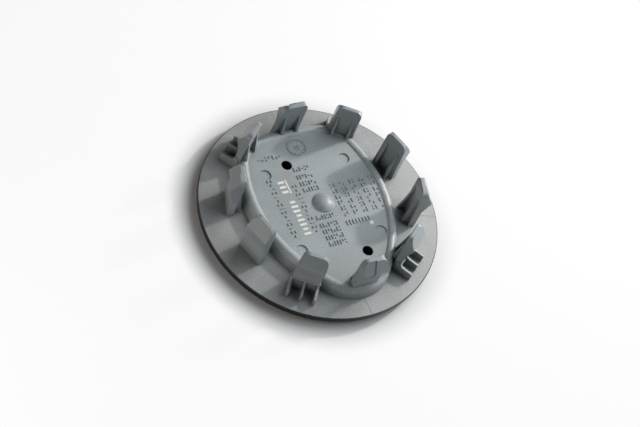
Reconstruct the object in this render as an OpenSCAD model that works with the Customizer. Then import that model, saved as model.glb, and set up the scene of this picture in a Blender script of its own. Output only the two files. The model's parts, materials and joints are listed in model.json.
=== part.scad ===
// Wheel centre cap, one moulding, lying on its face with the clips up.
// The origin is the middle of the front face. +Z points to the clips and +Y
// to the wide end of the badge seat.

/* [Disc] */
// Outer diameter of the cap
cap_d = 76; // [72:1:90]
// Height of the straight rim wall
rim_wall_h = 1.5; // [0.8:0.1:3]
// Rounding between the rim wall and the front face
rim_round = 1; // [0.5:0.1:1.5]
// Height that the front bevel climbs from the flat face to the rim
crown_h = 1.6; // [0.8:0.1:3]
// Width of the front bevel, from the rim to the flat face
bevel_w = 5.5; // [5:0.1:6]
// Small rounding of the back edge of the rim
back_edge_r = 0.25; // [0.1:0.05:0.5]

/* [Badge seat] */
// Half width of the seat wall, to the crest of its bead
seat_half_w = 21.3; // [20:0.1:22]
// Distance from the middle to the wide end of the seat
seat_top_y = 27; // [26:0.1:27.5]
// Place of the widest section, towards the wide end
seat_wide_y = 4; // [2:0.5:6]
// Distance from the middle to the centre of the narrow end
seat_tip_y = 17.2; // [15:0.1:17.5]
// Radius of the narrow end
seat_tip_r = 12.6; // [11.5:0.1:12.8]
// Radius of the two corners of the wide end
seat_corner_r = 11; // [9:0.5:12.5]
// Radius of the shallow curve across the wide end
seat_end_r = 48; // [40:1:80]
// Height of the floor above the back of the flange
floor_rise = 3.6; // [3:0.1:5]
// Thickness of the floor
floor_t = 2.5; // [1.5:0.1:3]
// Wall of the seat between the pocket in the front and the crest line
pocket_inset = 0.3; // [0:0.1:1]

/* [Bead] */
// Radius of the rounded bead on the seat wall
bead_r = 1.8; // [1.4:0.1:2]
// Height of the bead above the floor
bead_lip = 0.55; // [0.3:0.05:0.7]
// Draft of the outer side of the seat wall
bead_draft = 12; // [8:1:20]

/* [Clips] */
// Number of clips round the ring
clip_n = 10; // [8:1:10]
// Distance from the rim to the inner face of a clip, at its tip
clip_inset = 10.65; // [10:0.05:11]
// Lean of the inner face above its straight foot
clip_lean = 0.35; // [0.05:0.05:0.8]
// Height of the straight foot of a clip
clip_foot = 4; // [2:0.5:6]
// Thickness of a clip at its tip
clip_tip_t = 1.35; // [1:0.05:1.6]
// Thickness of a clip below the barb
clip_root_t = 2; // [1.6:0.1:2.3]
// Height of the clips above the back of the flange
clip_h = 16; // [14:0.5:20]
// Distance that the barb reaches out from the inner face
barb_out = 3.65; // [3.2:0.05:4.2]
// Drop from the tip to the middle of the barb
barb_drop = 3.9; // [3:0.1:4.5]
// Rounding of the barb
barb_round = 0.5; // [0.2:0.1:0.7]
// Height of the sloped underside of the barb
barb_under = 4.3; // [3:0.1:5]
// Width of a clip at its root
clip_root_w = 8.7; // [8:0.1:9]
// Width of a clip at its tip
clip_tip_w = 7.8; // [7:0.1:8.5]
// Rounding of each top corner of a clip
tip_round = 1.8; // [0.6:0.1:2.4]
// Step between the halves of the clips that the mould parts in the middle
half_step = 0.35; // [0.1:0.05:0.6]

/* [Gussets] */
// Distance between the two gussets of a clip
gusset_pitch = 5; // [3.5:0.1:6]
// Thickness of a gusset
gusset_t = 0.8; // [0.6:0.1:1.4]
// Distance that the foot of a gusset reaches in from the clip
gusset_in = 1.95; // [1.2:0.05:2.8]
// Height of a gusset above the back of the flange
gusset_h = 11.3; // [8:0.1:13]

/* [Fins] */
// Number of fins on a finned clip
fin_n = 3; // [2:1:4]
// Thickness of a fin
fin_t = 0.7; // [0.5:0.1:1.4]
// Width over the outer fins
fin_span = 9; // [8.8:0.1:10]
// Distance from the ends of the fins to the rim
fin_gap = 3.8; // [3:0.1:6]
// Height of the fins
fin_h = 3.2; // [2:0.1:4]
// Fall of the fins from the clip to their ends
fin_fall = 0.4; // [0:0.1:1]
// Radius of the hollow where a fin meets the clip
fin_hollow = 1.4; // [0.5:0.1:2]
// Distance that the ledge between the fins stands out of the clip
fin_ledge = 0.4; // [0.2:0.1:1]

/* [Floor details] */
// Diameter of the centre boss
boss_d = 7.2; // [4:0.1:9]
// Height of the centre boss
boss_h = 1.6; // [0.5:0.1:2.4]
// Diameter of the two badge holes
hole_d = 3.4; // [2:0.1:4]
// Badge hole near the wide end, across the seat
hole_a_x = -5.6; // [-9:0.1:0]
// Badge hole near the wide end, along the seat
hole_a_y = 15.5; // [12:0.1:18]
// Badge hole near the narrow end, across the seat
hole_b_x = 6.3; // [0:0.1:7]
// Badge hole near the narrow end, along the seat
hole_b_y = -19.1; // [-20:0.1:-14]
// Number of round ejector marks
mark_n = 4; // [1:1:4]
// Diameter of an ejector mark
mark_d = 3.7; // [2:0.1:4.5]
// Radius of the circle of ejector marks
mark_ring_r = 19.35; // [18:0.05:19.5]
// Depth of an ejector mark
mark_depth = 0.35; // [0.1:0.05:0.8]

/* [Hidden] */
$fn = 96;

// Rings of points on the quarter rounds of the disc
round_steps = 6;
// Steps over the bead, from its inner foot to its outer side
bead_steps = 7;
// Largest turn between two stations of the seat wall
seat_step = 6;
// Steps round a top corner of a clip
corner_steps = 4;
// Angles between which the barb is rounded, and the steps
barb_from = 32;
barb_to = -19;
barb_steps = 3;
// Steps of the hollow where a fin meets the clip
hollow_steps = 4;
// Small bevel of the inner edge of a tip
tip_edge = 0.25;
// How far pieces of one moulding run into each other
bite = 0.6;
// How far a cut runs past the face that it opens
past = 1;

cap_r = cap_d / 2;
face_flat_r = cap_r - bevel_w;
back_z = crown_h + rim_round + rim_wall_h;
floor_z = back_z + floor_rise;
pocket_z = floor_z - floor_t;
tip_z = back_z + clip_h;
clip_pitch = 360 / clip_n;
clip_in_r = cap_r - clip_inset;
clip_root_r = clip_in_r + clip_lean;

// The outline of the seat is six arcs that meet tangent to tangent.
tip_c = [0, -seat_tip_y];
end_c = [0, seat_top_y - seat_end_r];
wide_to_tip = seat_wide_y + seat_tip_y;
side_r = (pow(seat_half_w, 2) + pow(wide_to_tip, 2) - pow(seat_tip_r, 2))
    / (2 * (seat_half_w - seat_tip_r));
side_c = [seat_half_w - side_r, seat_wide_y];
corner_c = meet(side_c, side_r - seat_corner_r, end_c, seat_end_r - seat_corner_r);
tip_turn = heading(side_c, tip_c);
side_turn = heading(side_c, corner_c);
end_turn = heading(end_c, corner_c);
// Each arc is its centre, its radius and the two angles that it runs between.
SEAT_ARCS = [
    [tip_c, seat_tip_r, -180 - tip_turn, tip_turn],
    [side_c, side_r, tip_turn, side_turn],
    [corner_c, seat_corner_r, side_turn, end_turn],
    [end_c, seat_end_r, end_turn, 180 - end_turn],
    [flip(corner_c), seat_corner_r, 180 - end_turn, 180 - side_turn],
    [flip(side_c), side_r, 180 - side_turn, 180 - tip_turn]
];
// Stations round the outline, each as the centre, the radius and the angle
SEAT_LINE = [for (arc = SEAT_ARCS) each arc_stations(arc)];

function flip(p) = [-p.x, p.y];
function heading(from, to) = atan2(to.y - from.y, to.x - from.x);
function polar(centre, r, a) = centre + r * [cos(a), sin(a)];
// Upper meeting point of two circles
function meet(p, rp, q, rq) =
    let (d = norm(q - p), u = (q - p) / d)
    let (along = (rp * rp - rq * rq + d * d) / (2 * d))
    p + along * u + sqrt(rp * rp - along * along) * [-u.y, u.x];
function arc_stations(arc) =
    let (turn = arc[3] - arc[2], steps = ceil(turn / seat_step))
    [for (i = [0 : steps - 1]) [arc[0], arc[1], arc[2] + turn * i / steps]];
// A clip that carries fins stands on either side of every fifth place.
function finned(i) = i % 5 == 1 || i % 5 == 4;
// The mould parts the clips at these places, and one side of each stands out.
function stepped_side(i) = i % 5 == 0 ? (i < 5 ? -1 : 1) : i % 5 == 2 ? (i < 5 ? 1 : -1) : 0;

// Section of the disc: flat face, bevel, rounded rim and straight wall
function disc_section() =
    let (rim_c = [cap_r - rim_round, crown_h + rim_round])
    let (back_c = [cap_r - back_edge_r, back_z - back_edge_r])
    concat(
        [[0, 0], [face_flat_r, 0]],
        [for (i = [0 : round_steps]) polar(rim_c, rim_round, -70 + 70 * i / round_steps)],
        [for (i = [0 : round_steps]) polar(back_c, back_edge_r, 90 * i / round_steps)],
        [[0, back_z]]
    );

// Section of the seat wall, measured outwards from the crest of the bead
function wall_section() =
    let (crest_c = [0, floor_z + bead_lip - bead_r])
    let (from = 180 - asin((bead_r - bead_lip) / bead_r), to = bead_draft)
    let (leave = polar(crest_c, bead_r, to), base = back_z - bite)
    concat(
        [for (i = [0 : bead_steps]) polar(crest_c, bead_r, from + (to - from) * i / bead_steps)],
        [[leave.x + (leave.y - base) * tan(bead_draft), base]]
    );

// Side view of a clip: the tip, the barb and the sloped underside, down to the root
function clip_section(out) =
    let (barb_c = [clip_in_r + barb_out + out - barb_round, tip_z - barb_drop])
    let (root_out = clip_root_r + clip_root_t, turn = (barb_to - barb_from) / barb_steps)
    concat(
        [
            [clip_root_r, back_z - bite],
            [clip_root_r, back_z + clip_foot],
            [clip_in_r, tip_z - tip_edge],
            [clip_in_r + tip_edge, tip_z],
            [clip_in_r + clip_tip_t + out, tip_z]
        ],
        [for (i = [0 : barb_steps]) polar(barb_c, barb_round, barb_from + turn * i)],
        [[root_out, barb_c.y - barb_under], [root_out, back_z - bite]]
    );

// Front view of a clip: it narrows to the tip, which has rounded corners.
function clip_face() =
    let (root = clip_root_w / 2, tip = clip_tip_w / 2)
    let (corner_c = [tip - tip_round, tip_z - tip_round])
    let (corner = [for (i = [0 : corner_steps]) polar(corner_c, tip_round, 90 * i / corner_steps)])
    concat(
        [[root, back_z - bite]],
        corner,
        [for (i = [corner_steps : -1 : 0]) flip(corner[i])],
        [[-root, back_z - bite]]
    );

// A flat plate in the plane of the radius, centred on the line of the clip
module radial_plate(points, t) {
    rotate([90, 0, 0])
        translate([0, 0, -t / 2])
            linear_extrude(height = t)
                polygon(points);
}

module disc() {
    rotate_extrude()
        polygon(disc_section());
}

// The recess behind the seat, open at the front face
module badge_pocket() {
    translate([0, 0, -past])
        linear_extrude(height = pocket_z + past)
            polygon([for (st = SEAT_LINE) polar(st[0], st[1] - pocket_inset, st[2])]);
}

// The raised floor with its rounded wall: the section of the wall is set up at
// each station round the outline, and the rings of points are joined.
module seat() {
    section = wall_section();
    n = len(SEAT_LINE);
    m = len(section);
    points = [
        for (st = SEAT_LINE, p = section)
            let (q = polar(st[0], st[1] + p.x, st[2]))
            [q.x, q.y, p.y]
    ];
    floor_face = [for (i = [n - 1 : -1 : 0]) i * m];
    base_face = [for (i = [0 : n - 1]) i * m + m - 1];
    wall_faces = [
        for (i = [0 : n - 1], j = [0 : m - 2])
            let (here = i * m + j, next = ((i + 1) % n) * m + j)
            [here, next, next + 1, here + 1]
    ];
    polyhedron(points, concat([floor_face, base_face], wall_faces), convexity = 4);
}

module centre_boss() {
    ball_r = (pow(boss_d / 2, 2) + pow(boss_h, 2)) / (2 * boss_h);
    intersection() {
        translate([0, 0, floor_z + boss_h - ball_r])
            sphere(r = ball_r);
        translate([0, 0, floor_z - bite])
            cylinder(d = boss_d + past, h = boss_h + bite + past);
    }
}

module clip(step_side) {
    plate_w = clip_root_w + past;
    intersection() {
        union() {
            radial_plate(clip_section(0), plate_w);
            if (step_side != 0)
                translate([0, step_side * plate_w / 4, 0])
                    radial_plate(clip_section(half_step), plate_w / 2);
        }
        rotate([90, 0, 90])
            linear_extrude(height = cap_r)
                polygon(clip_face());
    }
    for (side = [-1, 1])
        translate([0, side * gusset_pitch / 2, 0])
            radial_plate([
                [clip_in_r - gusset_in, back_z - bite],
                [clip_in_r - gusset_in, back_z],
                [clip_in_r, back_z + gusset_h],
                [clip_root_r + bite, back_z + gusset_h],
                [clip_root_r + bite, back_z - bite]
            ], gusset_t);
}

// Fins that stand on the flange outside a clip, tied by a low ledge
module fins() {
    in_r = clip_root_r + bite;
    out_r = clip_root_r + clip_root_t;
    top_z = back_z + fin_h;
    hollow_c = [out_r + fin_hollow, top_z + fin_hollow];
    hollow = [for (i = [0 : hollow_steps]) polar(hollow_c, fin_hollow, 180 + 90 * i / hollow_steps)];
    first = -(fin_span - fin_t) / 2;
    step = (fin_span - fin_t) / (fin_n - 1);
    for (i = [0 : fin_n - 1])
        translate([0, first + i * step, 0])
            radial_plate(concat(
                [[in_r, back_z - bite], [in_r, top_z + fin_hollow]],
                hollow,
                [[cap_r - fin_gap, top_z - fin_fall], [cap_r - fin_gap, back_z - bite]]
            ), fin_t);
    translate([in_r, -fin_span / 2, back_z - bite])
        cube([out_r + fin_ledge - in_r, fin_span, fin_h + bite]);
}

module clip_ring() {
    for (i = [0 : clip_n - 1])
        rotate([0, 0, 90 + i * clip_pitch]) {
            clip(stepped_side(i));
            if (finned(i))
                fins();
        }
}

module badge_holes() {
    for (p = [[hole_a_x, hole_a_y], [hole_b_x, hole_b_y]])
        translate([p.x, p.y, pocket_z - past])
            cylinder(d = hole_d, h = floor_t + 2 * past);
}

module ejector_marks() {
    for (i = [0 : mark_n - 1])
        rotate([0, 0, 45 + 90 * i])
            translate([mark_ring_r, 0, floor_z - mark_depth])
                cylinder(d = mark_d, h = mark_depth + past);
}

module cap_body() {
    color("slategray")
        difference() {
            union() {
                disc();
                seat();
                centre_boss();
                clip_ring();
            }
            badge_pocket();
            badge_holes();
            ejector_marks();
        }
}

cap_body();
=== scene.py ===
import json
import math

import bmesh
import bpy
from mathutils import Matrix, Vector


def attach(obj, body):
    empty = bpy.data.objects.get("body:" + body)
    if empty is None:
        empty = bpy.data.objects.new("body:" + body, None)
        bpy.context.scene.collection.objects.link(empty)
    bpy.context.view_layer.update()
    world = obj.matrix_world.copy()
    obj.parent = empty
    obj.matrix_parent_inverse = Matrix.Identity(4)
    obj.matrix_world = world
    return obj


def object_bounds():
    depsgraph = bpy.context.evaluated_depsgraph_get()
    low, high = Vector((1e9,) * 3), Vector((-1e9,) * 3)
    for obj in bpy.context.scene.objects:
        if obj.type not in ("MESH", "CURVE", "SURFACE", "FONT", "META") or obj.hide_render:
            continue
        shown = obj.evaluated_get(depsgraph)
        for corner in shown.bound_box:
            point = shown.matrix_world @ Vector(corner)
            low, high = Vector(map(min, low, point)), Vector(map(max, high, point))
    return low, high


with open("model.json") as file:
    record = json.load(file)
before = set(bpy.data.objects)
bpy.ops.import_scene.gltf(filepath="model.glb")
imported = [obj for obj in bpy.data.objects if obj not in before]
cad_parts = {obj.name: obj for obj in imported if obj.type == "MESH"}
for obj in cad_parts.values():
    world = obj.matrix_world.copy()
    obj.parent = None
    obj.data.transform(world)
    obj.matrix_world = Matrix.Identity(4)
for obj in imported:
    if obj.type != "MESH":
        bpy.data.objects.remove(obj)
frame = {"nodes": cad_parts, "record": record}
cad_low, cad_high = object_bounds()

# The whole cap is one injection moulding in dark grey glass-filled plastic: disc,
# badge seat, clips and fins. The mould leaves the back matt and the clips smoother,
# and the front, the rim and the badge pocket are sprayed with black lacquer.

MM = 0.001
mounts = {mount["name"]: mount for mount in frame["record"]["mounts"]}
holes = [mounts["badge_hole_a"], mounts["badge_hole_b"]]
RIM_R = cad_high.x
BACK_Z = mounts["flange_back"]["pos_m"][2]
POCKET_Z = mounts["badge_seat"]["pos_m"][2]
SEAT_Z = POCKET_Z + holes[0]["dims"]["length_mm"] * MM
CLIP_Z = SEAT_Z + 2.9 * MM
# Outline of the badge seat: each arc is its centre and its radius in mm.
TIP_ARC = ((0.0, -17.2), 12.6)
SIDE_ARC = ((-21.48, 4.0), 42.78)
CORNER_ARC = ((8.316, 15.053), 11.0)
END_ARC = ((0.0, -21.0), 48.0)

PLASTIC = (0.428, 0.464, 0.481)
PLASTIC_DARK = (0.270, 0.292, 0.302)
# The near-black grey that is painted into corners and crevices as shade.
PAINTED_SHADE = (0.086, 0.093, 0.096)
FLANGE_TONE = (0.405, 0.405, 0.398)
CLIP_TONE = (0.336, 0.370, 0.396)
LACQUER = (0.012, 0.012, 0.013)
LACQUER_GLOSS = {"Roughness": 0.12, "Specular IOR Level": 0.15}
BARE_RIM = 0.15 * MM
OVERSPRAY = 0.28 * MM
OVERSPRAY_SHARE = 0.85
POCKET_MARGIN = 0.9 * MM
LACQUER_IN_HOLE = 0.25 * MM
# Painted shade in corners: how far the occlusion looks, and how much of the plain colour stays in
# the deepest corner.
SHADE_REACH = 6.5 * MM
LEAST_UNSHADED = 0.4
GRAIN_DEPTH = 0.04 * MM
EDGE_ROUND = 0.2 * MM
# Scale, detail and roughness of the two noises.
CLOUD = (90.0, 4.0, 0.5)
GRAIN = (2600.0, 3.0, 0.65)
CLOUD_SHARE = 0.35
MATT, CLOUD_MATT, CLIP_SMOOTH = 0.34, 0.12, 0.1
CLIP_GRAIN_LOST = 0.7


class Val:
    """A socket that takes part in Python arithmetic by adding Math nodes."""

    def __init__(self, paint, socket):
        self.paint = paint
        self.socket = socket

    def output(self, name):
        """Another output of the node that this one comes from."""
        return Val(self.paint, self.socket.node.outputs[name])

    def math(self, operation, *others):
        values = dict(enumerate((self, *others)))
        return self.paint.node("ShaderNodeMath", {"operation": operation}, values)

    def __add__(self, other):
        return self.math("ADD", other)

    def __sub__(self, other):
        return self.math("SUBTRACT", other)

    def __rsub__(self, other):
        return self * -1.0 + other

    def __mul__(self, other):
        return self.math("MULTIPLY", other)

    __radd__ = __add__
    __rmul__ = __mul__

    def above(self, level, soft):
        """0 below the level and 1 above it, with a step that is soft by that much each way."""
        inputs = {"Value": self, "From Min": level - soft, "From Max": level + soft}
        return self.paint.node("ShaderNodeMapRange", {"interpolation_type": "SMOOTHSTEP"}, inputs)

    def below(self, level, soft):
        return 1.0 - self.above(level, soft)


def radius(across, along):
    return (across * across + along * along).math("SQRT")


def rgba(colour):
    return colour if isinstance(colour, Val) else (*colour, 1.0)


class Paint:
    """A material whose nodes all come from one method."""

    def __init__(self, name, colour, roughness):
        self.material = bpy.data.materials.new(name)
        self.material.use_nodes = True
        self.tree = self.material.node_tree
        self.shader = self.tree.nodes["Principled BSDF"]
        self.shader.inputs["Base Color"].default_value = rgba(colour)
        self.shader.inputs["Roughness"].default_value = roughness

    def node(self, kind, settings, inputs, out=0):
        made = self.tree.nodes.new(kind)
        for key, value in settings.items():
            setattr(made, key, value)
        for key, value in inputs.items():
            if isinstance(value, Val):
                self.tree.links.new(value.socket, made.inputs[key])
            else:
                made.inputs[key].default_value = value
        return Val(self, made.outputs[out])

    def place(self):
        return self.node("ShaderNodeTexCoord", {}, {}, "Object")

    def axes(self):
        split = self.node("ShaderNodeSeparateXYZ", {}, {0: self.place()})
        return [split.output(axis) for axis in "XYZ"]

    def mix(self, mask, under, over):
        """One colour laid over another where the mask is 1."""
        inputs = {0: mask, 6: rgba(under), 7: rgba(over)}
        return self.node("ShaderNodeMix", {"data_type": "RGBA"}, inputs, 2)

    def noise(self, scale, detail, roughness):
        inputs = {"Vector": self.place(), "Scale": scale, "Detail": detail, "Roughness": roughness}
        return self.node("ShaderNodeTexNoise", {}, inputs)

    def bump(self, height, distance, strength, **normal):
        inputs = {"Height": height, "Distance": distance, "Strength": strength, **normal}
        return self.node("ShaderNodeBump", {}, inputs)

    def feed(self, name, value):
        self.tree.links.new(value.socket, self.shader.inputs[name])

    def cover(self, mask, finish):
        """Lays another finish over the whole surface where the mask is 1."""
        under = Val(self, self.shader.outputs[0])
        both = self.node("ShaderNodeMixShader", {}, {0: mask, 1: under, 2: finish})
        self.tree.links.new(both.socket, self.tree.nodes["Material Output"].inputs[0])


class SeatOutline:
    """How far a place on the right half of the cap lies outside the badge seat."""

    def __init__(self, across, along):
        self.across = across
        self.along = along

    def outside(self, arc):
        (across, along), arc_r = arc
        return radius(self.across - across * MM, self.along - along * MM) - arc_r * MM

    def past(self, start, end):
        """1 on the left of the line from one arc's centre to another's."""
        (start_x, start_y), (end_x, end_y) = start[0], end[0]
        ahead = (self.along - start_y * MM) * (end_x - start_x)
        aside = (self.across - start_x * MM) * (end_y - start_y)
        return (ahead - aside).math("GREATER_THAN", 0.0)

    def distance(self):
        arcs = (TIP_ARC, SIDE_ARC, CORNER_ARC, END_ARC)
        tip, side, corner, end = (self.outside(arc) for arc in arcs)
        past_corner = self.past(SIDE_ARC, CORNER_ARC)
        past_end = self.past(END_ARC, CORNER_ARC)
        flank = side + (corner - side) * past_corner
        upper = flank + (end - flank) * (past_corner * past_end)
        return tip + (upper - tip) * self.past(SIDE_ARC, TIP_ARC)


body = Paint("moulded grey plastic with black lacquer", PLASTIC, MATT)
x, y, z = body.axes()

lacquered = z.below(BACK_Z - BARE_RIM, 0.05 * MM)
seat_distance = SeatOutline(x.math("ABSOLUTE"), y).distance()
in_pocket = seat_distance.below(POCKET_MARGIN, 0.1 * MM) * z.below(POCKET_Z + 0.15 * MM, 0.05 * MM)
overspray = radius(x, y).above(RIM_R - OVERSPRAY, 0.06 * MM) * OVERSPRAY_SHARE
black = lacquered.math("MAXIMUM", in_pocket).math("MAXIMUM", overspray)
for hole in holes:
    hole_x, hole_y, _ = hole["pos_m"]
    hole_r = hole["dims"]["r_mm"] * MM
    wall = radius(x - hole_x, y - hole_y).below(hole_r + 0.04 * MM, 0.02 * MM)
    black = black.math("MAXIMUM", wall * z.below(SEAT_Z - LACQUER_IN_HOLE, 0.1 * MM))

cloud = body.noise(*CLOUD)
grain = body.noise(*GRAIN)
tone = cloud.above(0.5, 0.2) * CLOUD_SHARE + grain.above(0.5, 0.18) * (1.0 - CLOUD_SHARE)
on_flange = z.below(BACK_Z + 1.65 * MM, 1.35 * MM)
on_clips = z.above(CLIP_Z, 1.0 * MM)
skin = body.mix(on_clips, body.mix(on_flange, PLASTIC, FLANGE_TONE), CLIP_TONE)
# Painted shade: ambient occlusion darkens the base colour towards a near-black grey in corners and
# crevices, where other surfaces are close.
occlusion_settings = {"samples": 8, "only_local": True}
corner_occlusion = body.node("ShaderNodeAmbientOcclusion", occlusion_settings, {"Distance": SHADE_REACH}, "AO")
clear_of_painted_shade = corner_occlusion.above(0.55, 0.35) * (1.0 - LEAST_UNSHADED) + LEAST_UNSHADED
body.feed("Base Color", body.mix(clear_of_painted_shade, PAINTED_SHADE, body.mix(tone, PLASTIC_DARK, skin)))
body.feed("Roughness", MATT + cloud * CLOUD_MATT - on_clips * CLIP_SMOOTH)
soft_edge = body.node("ShaderNodeBevel", {"samples": 4}, {"Radius": EDGE_ROUND})
relief = grain * (1.0 - on_clips * CLIP_GRAIN_LOST)
body.feed("Normal", body.bump(relief, GRAIN_DEPTH, 0.6, Normal=soft_edge))
gloss = {"Base Color": rgba(LACQUER), **LACQUER_GLOSS}
body.cover(black, body.node("ShaderNodeBsdfPrincipled", {}, gloss))

cap = frame["nodes"]["cap_body"]
cap.data.materials.clear()
cap.data.materials.append(body.material)

# Rows of small raised marks on the floor of the seat, in the cap's own plastic.
# The engraved mould leaves them, a quarter of a millimetre proud. Here they are
# plain bars, dots and dashes.

FLOOR = SEAT_Z / MM
RAISED = 0.26
THIN = 0.27
ROW_HIGH = 1.5
# Each kind of sign is one or two plain bars or dots, placed in a box one high:
# across, up, and then the length across and up.
SIGNS = [
    [(0.5, 0.5, 0.2, 1.0)],
    [(0.5, 0.25, 0.2, 0.5)],
    [(0.5, 0.15, 0.3, 0.3), (0.5, 0.85, 0.3, 0.3)],
    [(0.5, 0.75, 0.2, 0.5)],
    [(0.5, 0.5, 0.8, 0.22)],
    [(0.5, 0.1, 0.8, 0.22), (0.5, 0.9, 0.8, 0.22)],
]
SIGN_OF_PITCH = 0.8
SIGN_OF_HEIGHT = 0.7
# Two blocks of rows: where they start and end, and then each row's place and kinds.
UPPER_BLOCK = (-4.4, 1.4), ((12.5, "010423"), (9.7, "003041"), (7.2, "002031"), (4.9, "010020"))
LOWER_BLOCK = (-4.6, 1.8), (
    (-5.4, "0100203"),
    (-8.2, "0010320"),
    (-10.4, "0030102"),
    (-12.6, "0002310"),
    (-14.8, "0100032"),
)
# Single lines: start, end, kinds and height.
LINES = (
    ((-14.2, 11.7), (-14.2, -9.7), "543514505435154", 1.5),
    ((-7.0, 8.2), (-7.0, -9.7), "545035415054", 1.4),
    ((-13.9, 18.4), (-5.6, 18.4), "4123014", 1.5),
    ((3.9, -9.4), (12.6, -9.4), "00000000", 1.7),
)
# A grid of pairs, each of two signs that lie side by side in the run of kinds.
GRID_COLUMNS, GRID_ROWS = 5, 6
GRID_AT = (4.6, 4.4)
GRID_STEP = (3.35, -2.1)
PAIR_LONG, PAIR_HIGH = 2.2, 1.4
PAIR_KINDS = "20310201320"
PAIR_STARTS = 8
RAISED_GRAIN = (3000.0, 3.0, 0.5)
RAISED_MATT = 0.4


def add(name, data):
    """A new object of the scene, at the origin."""
    made = bpy.data.objects.new(name, data)
    bpy.context.scene.collection.objects.link(made)
    return made


def piece(name, draw, paint):
    """A closed piece, drawn in millimetres, that rides with the cap."""
    mesh = bpy.data.meshes.new(name)
    bm = bmesh.new()
    draw(bm)
    bmesh.ops.scale(bm, vec=(MM, MM, MM), verts=bm.verts)
    bmesh.ops.recalc_face_normals(bm, faces=bm.faces)
    bm.to_mesh(mesh)
    bm.free()
    mesh.materials.append(paint.material)
    made = add(name, mesh)
    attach(made, "root")


def bar(bm, foot, size, turn, sunk=0.05, chamfer=0.03):
    """A small bar on the surface, with its top edges broken."""
    long, wide, proud = size
    middle = foot[2] + (proud - sunk) / 2
    where = Matrix.Translation((foot[0], foot[1], middle)) @ Matrix.Rotation(turn, 4, "Z")
    shape = where @ Matrix.Diagonal((long, wide, proud + sunk, 1.0))
    corners = bmesh.ops.create_cube(bm, size=1.0, matrix=shape)["verts"]
    edges = {edge for corner in corners for edge in corner.link_edges}
    top = [edge for edge in edges if all(end.co.z > middle for end in edge.verts)]
    bmesh.ops.bevel(
        bm, geom=top, offset=chamfer, segments=1, profile=0.5, affect="EDGES", material=-1
    )


def signs(bm, start, end, kinds, high):
    """A row of signs from start to end, standing upright on the row."""
    run = Vector(end) - Vector(start)
    step = run / len(kinds)
    ahead = run.normalized()
    upward = Vector((-ahead.y, ahead.x)) * high
    box = min(step.length * SIGN_OF_PITCH, high * SIGN_OF_HEIGHT)
    for count, kind in enumerate(kinds):
        corner = Vector(start) + step * count
        for across, rise, wide, tall in SIGNS[int(kind)]:
            at = corner + ahead * across * box + upward * rise
            size = (max(wide * box, THIN), max(tall * high, THIN), RAISED)
            bar(bm, (at.x, at.y, FLOOR), size, math.atan2(run.y, run.x))


def engraving(bm):
    for (left, right), rows in (UPPER_BLOCK, LOWER_BLOCK):
        for row_y, kinds in rows:
            signs(bm, (left, row_y), (right, row_y), kinds, ROW_HIGH)
    for start, end, kinds, high in LINES:
        signs(bm, start, end, kinds, high)
    for row in range(GRID_ROWS):
        for column in range(GRID_COLUMNS):
            left = GRID_AT[0] + GRID_STEP[0] * column
            row_y = GRID_AT[1] + GRID_STEP[1] * row
            first = (3 * row + 2 * column) % PAIR_STARTS
            kinds = PAIR_KINDS[first : first + 2]
            signs(bm, (left, row_y), (left + PAIR_LONG, row_y), kinds, PAIR_HIGH)


raised = Paint("raised moulded plastic", PLASTIC, RAISED_MATT)
raised.feed("Base Color", raised.mix(raised.noise(*RAISED_GRAIN), PLASTIC_DARK, PLASTIC))
piece("engraving", engraving, raised)

# A raised ring with ticks and two bars near the wide end of the seat, in the
# cap's own plastic, left there by a round insert in the mould.

RING_AT = (0.3, 20.9)
RING_R = 3.0
RING_HIGH = 0.2
RING_WIDE = 0.27
RING_PARTS = 72
TICKS = 12
TICK_LONG, TICK_WIDE = 0.5, 0.24
STROKE_LONG = 1.5
STROKE_SIDES = (-0.5, 0.5)


def around(centre, reach, turn, height):
    """The place at that reach and turn from a centre on the cap."""
    return (centre[0] + reach * math.cos(turn), centre[1] + reach * math.sin(turn), height)


def date_ring(bm):
    for part in range(RING_PARTS):
        turn = 2 * math.pi * part / RING_PARTS
        size = (RING_WIDE, 2 * math.pi * RING_R / RING_PARTS, RING_HIGH)
        bar(bm, around(RING_AT, RING_R, turn, FLOOR), size, turn)
    for tick in range(TICKS):
        turn = 2 * math.pi * tick / TICKS
        at = around(RING_AT, RING_R - TICK_LONG, turn, FLOOR)
        bar(bm, at, (TICK_LONG, TICK_WIDE, RING_HIGH), turn)
    for side in STROKE_SIDES:
        at = (RING_AT[0] + side, RING_AT[1], FLOOR)
        bar(bm, at, (RING_WIDE, STROKE_LONG, RING_HIGH), 0.0)


piece("date_ring", date_ring, raised)

# Fine raised lines in the cap's own plastic. The slides of the mould part at four
# of the clips and leave one over the flange there, and another runs round the
# foot of the seat wall.

FLANGE = BACK_Z / MM
SEAM_DEGREES = (90, 342, 270, 234)
SEAM_FROM, SEAM_TO = 31.2, 37.7
SEAM_WIDE, SEAM_HIGH = 0.12, 0.05
FOOT_CENTRE = (21.48, 4.0)
FOOT_R = 45.85
FOOT_DEGREES = range(168, 209)
FOOT_WIDE, FOOT_HIGH = 0.3, 0.15


def seams(bm):
    for degrees in SEAM_DEGREES:
        turn = math.radians(degrees)
        at = around((0.0, 0.0), (SEAM_FROM + SEAM_TO) / 2, turn, FLANGE)
        bar(bm, at, (SEAM_TO - SEAM_FROM, SEAM_WIDE, SEAM_HIGH), turn)
    for degrees in FOOT_DEGREES:
        turn = math.radians(degrees)
        size = (FOOT_WIDE, FOOT_R * math.radians(1.0), FOOT_HIGH)
        bar(bm, around(FOOT_CENTRE, FOOT_R, turn, FLANGE), size, turn)


piece("seams", seams, body)

# Two columns of white ink, pad-printed on the seat floor and here plain bars,
# and a dab of pale paint that the inspection leaves.

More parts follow.
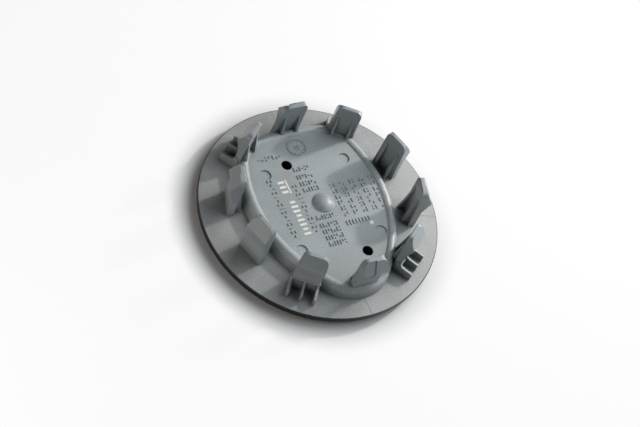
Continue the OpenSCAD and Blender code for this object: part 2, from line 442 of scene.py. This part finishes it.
INK = (0.93, 0.90, 0.83)
INK_WORN = (0.80, 0.78, 0.71)
INK_GRAIN = (1600.0, 3.0, 0.5)
INK_DEPTH = 0.02 * MM
INK_HIGH = 0.02
INK_EDGE = 0.01
SHORT_COLUMN = (-10.1, 10.0)
SHORT_BARS, SHORT_PITCH = 3, 1.75
SHORT_SIZE = (2.1, 0.85, INK_HIGH)
RULE_AT = (-8.45, 8.2, FLOOR)
RULE_SIZE = (0.42, 5.0, INK_HIGH)
LONG_COLUMN = (-9.4, 2.6)
LONG_BARS, LONG_PITCH = 8, 1.62
BAR_LONG, BAR_SHORT, BAR_HIGH = 2.3, 1.7, 0.8
SPOT_AT = (12.0, -10.2)
SPOT_R, SPOT_TOP_R = 0.85, 0.55
SPOT_HIGH, SPOT_SUNK = 0.12, 0.04
SPOT_ROUND = 0.12

ink = Paint("white ink", INK, 0.55)
worn = ink.noise(*INK_GRAIN)
ink.feed("Base Color", ink.mix(worn.above(0.55, 0.2), INK_WORN, INK))
ink.feed("Normal", ink.bump(worn, INK_DEPTH, 0.4))


def white_bars(bm):
    for count in range(SHORT_BARS):
        at = (SHORT_COLUMN[0], SHORT_COLUMN[1] - SHORT_PITCH * count, FLOOR)
        bar(bm, at, SHORT_SIZE, 0.0, chamfer=INK_EDGE)
    bar(bm, RULE_AT, RULE_SIZE, 0.0, chamfer=INK_EDGE)
    for count in range(LONG_BARS):
        at = (LONG_COLUMN[0], LONG_COLUMN[1] - LONG_PITCH * count, FLOOR)
        long = BAR_LONG if count % 3 else BAR_SHORT
        bar(bm, at, (long, BAR_HIGH, INK_HIGH), 0.0, chamfer=INK_EDGE)


def paint_spot(bm):
    depth = SPOT_HIGH + SPOT_SUNK
    middle = Vector((*SPOT_AT, FLOOR + SPOT_HIGH - depth / 2))
    bmesh.ops.create_cone(
        bm, cap_ends=True, segments=20, radius1=SPOT_R, radius2=SPOT_TOP_R, depth=depth,
        matrix=Matrix.Translation(middle),
    )
    rim = [edge for edge in bm.edges if all(end.co.z > FLOOR for end in edge.verts)]
    bmesh.ops.bevel(
        bm, geom=rim, offset=SPOT_ROUND, segments=2, profile=0.5, affect="EDGES", material=-1
    )


piece("white_bars", white_bars, ink)
piece("paint_spot", paint_spot, ink)

# A plain pale table that reads white to the camera, but dark where it lies under
# the cap. A small hard key light stands low on the right, with soft boxes round
# it and a faint sky.

TABLE_TONE = (0.8, 0.8, 0.8)
TABLE_HALF = 3.0
TABLE_DROP = 0.05 * MM
TABLE_WHITE = 0.9
WHITE_FROM = 43.0 * MM
WHITE_SOFT = 5.0 * MM
SKY = (0.93, 0.96, 1.0)
SKY_STRENGTH = 0.03
WARM = (1.0, 0.955, 0.90)
COOL = (0.87, 0.95, 1.0)

table_mesh = bpy.data.meshes.new("floor")
bm = bmesh.new()
level = Matrix.Translation((0.0, 0.0, -TABLE_DROP))
bmesh.ops.create_grid(bm, x_segments=1, y_segments=1, size=TABLE_HALF, matrix=level)
bm.to_mesh(table_mesh)
bm.free()
floor = add("floor", table_mesh)
table = Paint("pale table", TABLE_TONE, 0.9)
table_x, table_y, _ = table.axes()
camera_ray = table.node("ShaderNodeLightPath", {}, {}, "Is Camera Ray")
seen = camera_ray.math("MAXIMUM", camera_ray.output("Is Glossy Ray"))
seen = seen.math("MAXIMUM", camera_ray.output("Is Transmission Ray"))
white = table.node("ShaderNodeEmission", {}, {"Color": (1.0, 1.0, 1.0, 1.0), "Strength": 1.0})
clear_of_cap = radius(table_x, table_y).above(WHITE_FROM, WHITE_SOFT)
table.cover(seen * clear_of_cap * TABLE_WHITE, white)
floor.data.materials.append(table.material)

world = bpy.data.worlds.new("sky")
bpy.context.scene.world = world
world.use_nodes = True
sky = world.node_tree.nodes["Background"]
sky.inputs["Color"].default_value = rgba(SKY)
sky.inputs["Strength"].default_value = SKY_STRENGTH


def towards(azimuth, elevation):
    """The direction at that azimuth and elevation, in degrees."""
    turn, up = math.radians(azimuth), math.radians(elevation)
    return Vector((math.cos(up) * math.cos(turn), math.cos(up) * math.sin(turn), math.sin(up)))


def lamp(name, azimuth, elevation, distance, size, watts, tint):
    """A square soft box that looks at the cap."""
    light = bpy.data.lights.new(name, "AREA")
    light.shape = "SQUARE"
    light.size = size
    light.energy = watts
    light.color = tint
    made = add(name, light)
    direction = towards(azimuth, elevation)
    made.location = direction * distance
    made.rotation_euler = direction.to_track_quat("Z", "Y").to_euler()


lamp("key", 11.2, 30.0, 0.4, 0.024, 0.92, WARM)
lamp("side_box", 15.0, 25.0, 0.2, 0.15, 0.11, WARM)
lamp("low_box", 20.0, 20.0, 0.15, 0.05, 0.035, WARM)
lamp("top_box", 5.0, 65.0, 0.16, 0.1, 0.055, COOL)
lamp("window", -30.0, 45.0, 0.4, 0.3, 0.52, COOL)
lamp("sheen", 40.0, 52.0, 0.6, 0.15, 0.14, COOL)
lamp("left_fill", 190.0, 20.0, 0.14, 0.09, 0.042, WARM)

# The camera stands where the photograph was taken from, found from the ten clips
# at equal angles and the ellipse of the rim.

AIM = Vector((1.705, 0.761, 0.0)) * MM
DISTANCE = 454.33 * MM
AZIMUTH, ELEVATION, ROLL = 222.264, 52.325, 27.697
LENS = 83.35
SENSOR = 36.0

lens = bpy.data.cameras.new("camera")
lens.lens = LENS
lens.sensor_width = SENSOR
camera = add("camera", lens)
sight = towards(AZIMUTH, ELEVATION)
roll = Matrix.Rotation(math.radians(ROLL), 4, "Z")
upright = sight.to_track_quat("Z", "Y").to_matrix().to_4x4()
camera.matrix_world = Matrix.Translation(AIM + sight * DISTANCE) @ upright @ roll
bpy.context.scene.camera = camera
bpy.context.scene.view_settings.view_transform = "Standard"
